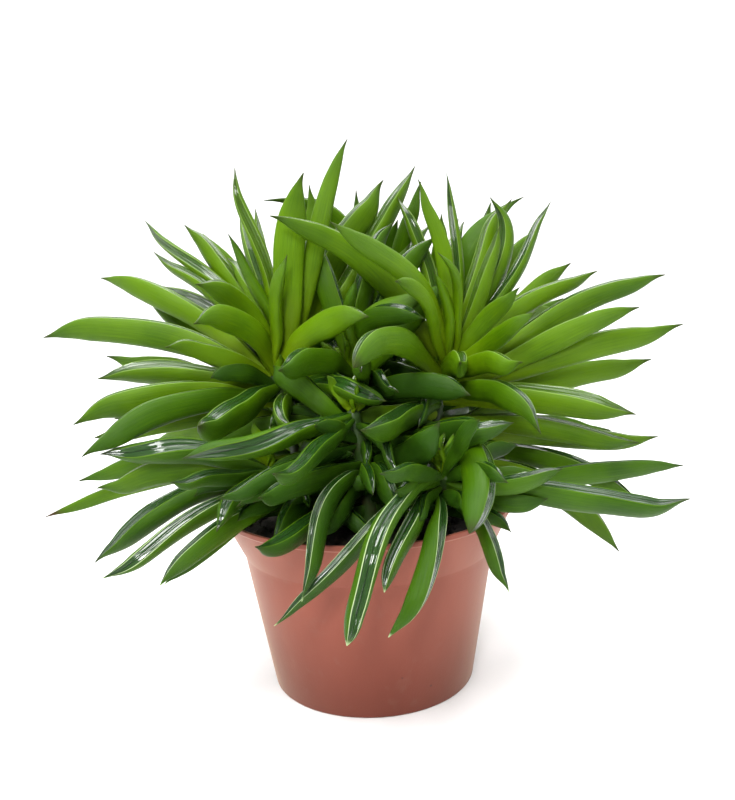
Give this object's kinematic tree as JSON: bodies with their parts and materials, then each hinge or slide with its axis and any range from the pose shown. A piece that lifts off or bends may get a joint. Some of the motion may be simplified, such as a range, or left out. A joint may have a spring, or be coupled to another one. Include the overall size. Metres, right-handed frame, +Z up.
{
  "type": "potted happy bean peperomia",
  "caption": "Bushy succulent plant with long folded bean-pod leaves on leafy stems, growing from soil in a tapered plastic nursery pot.",
  "frame": {"origin": "centre of the pot's flat underside, which rests on the table", "axes": "+Z up along the pot's axis, +X to the viewer's right in the picture, +Y away from the viewer, so the pictured front faces -Y"},
  "size_m": [0.264, 0.2122, 0.2178],
  "materials": {
    "pot": "terracotta-pink satin plastic",
    "soil": "dark damp potting soil, rough",
    "leaf": "smooth waxy green leaf with a glossy window along its upper edge"
  },
  "bodies": {
    "root": {"pot": "pot", "soil": "soil", "stem_left": "leaf", "stem_right": "leaf", "stem_front": "leaf", "stem_front_right": "leaf", "stem_front_left": "leaf", "stem_centre": "leaf", "stem_back_left": "leaf", "stem_back": "leaf", "stem_back_right": "leaf"}
  },
  "joints": []
}
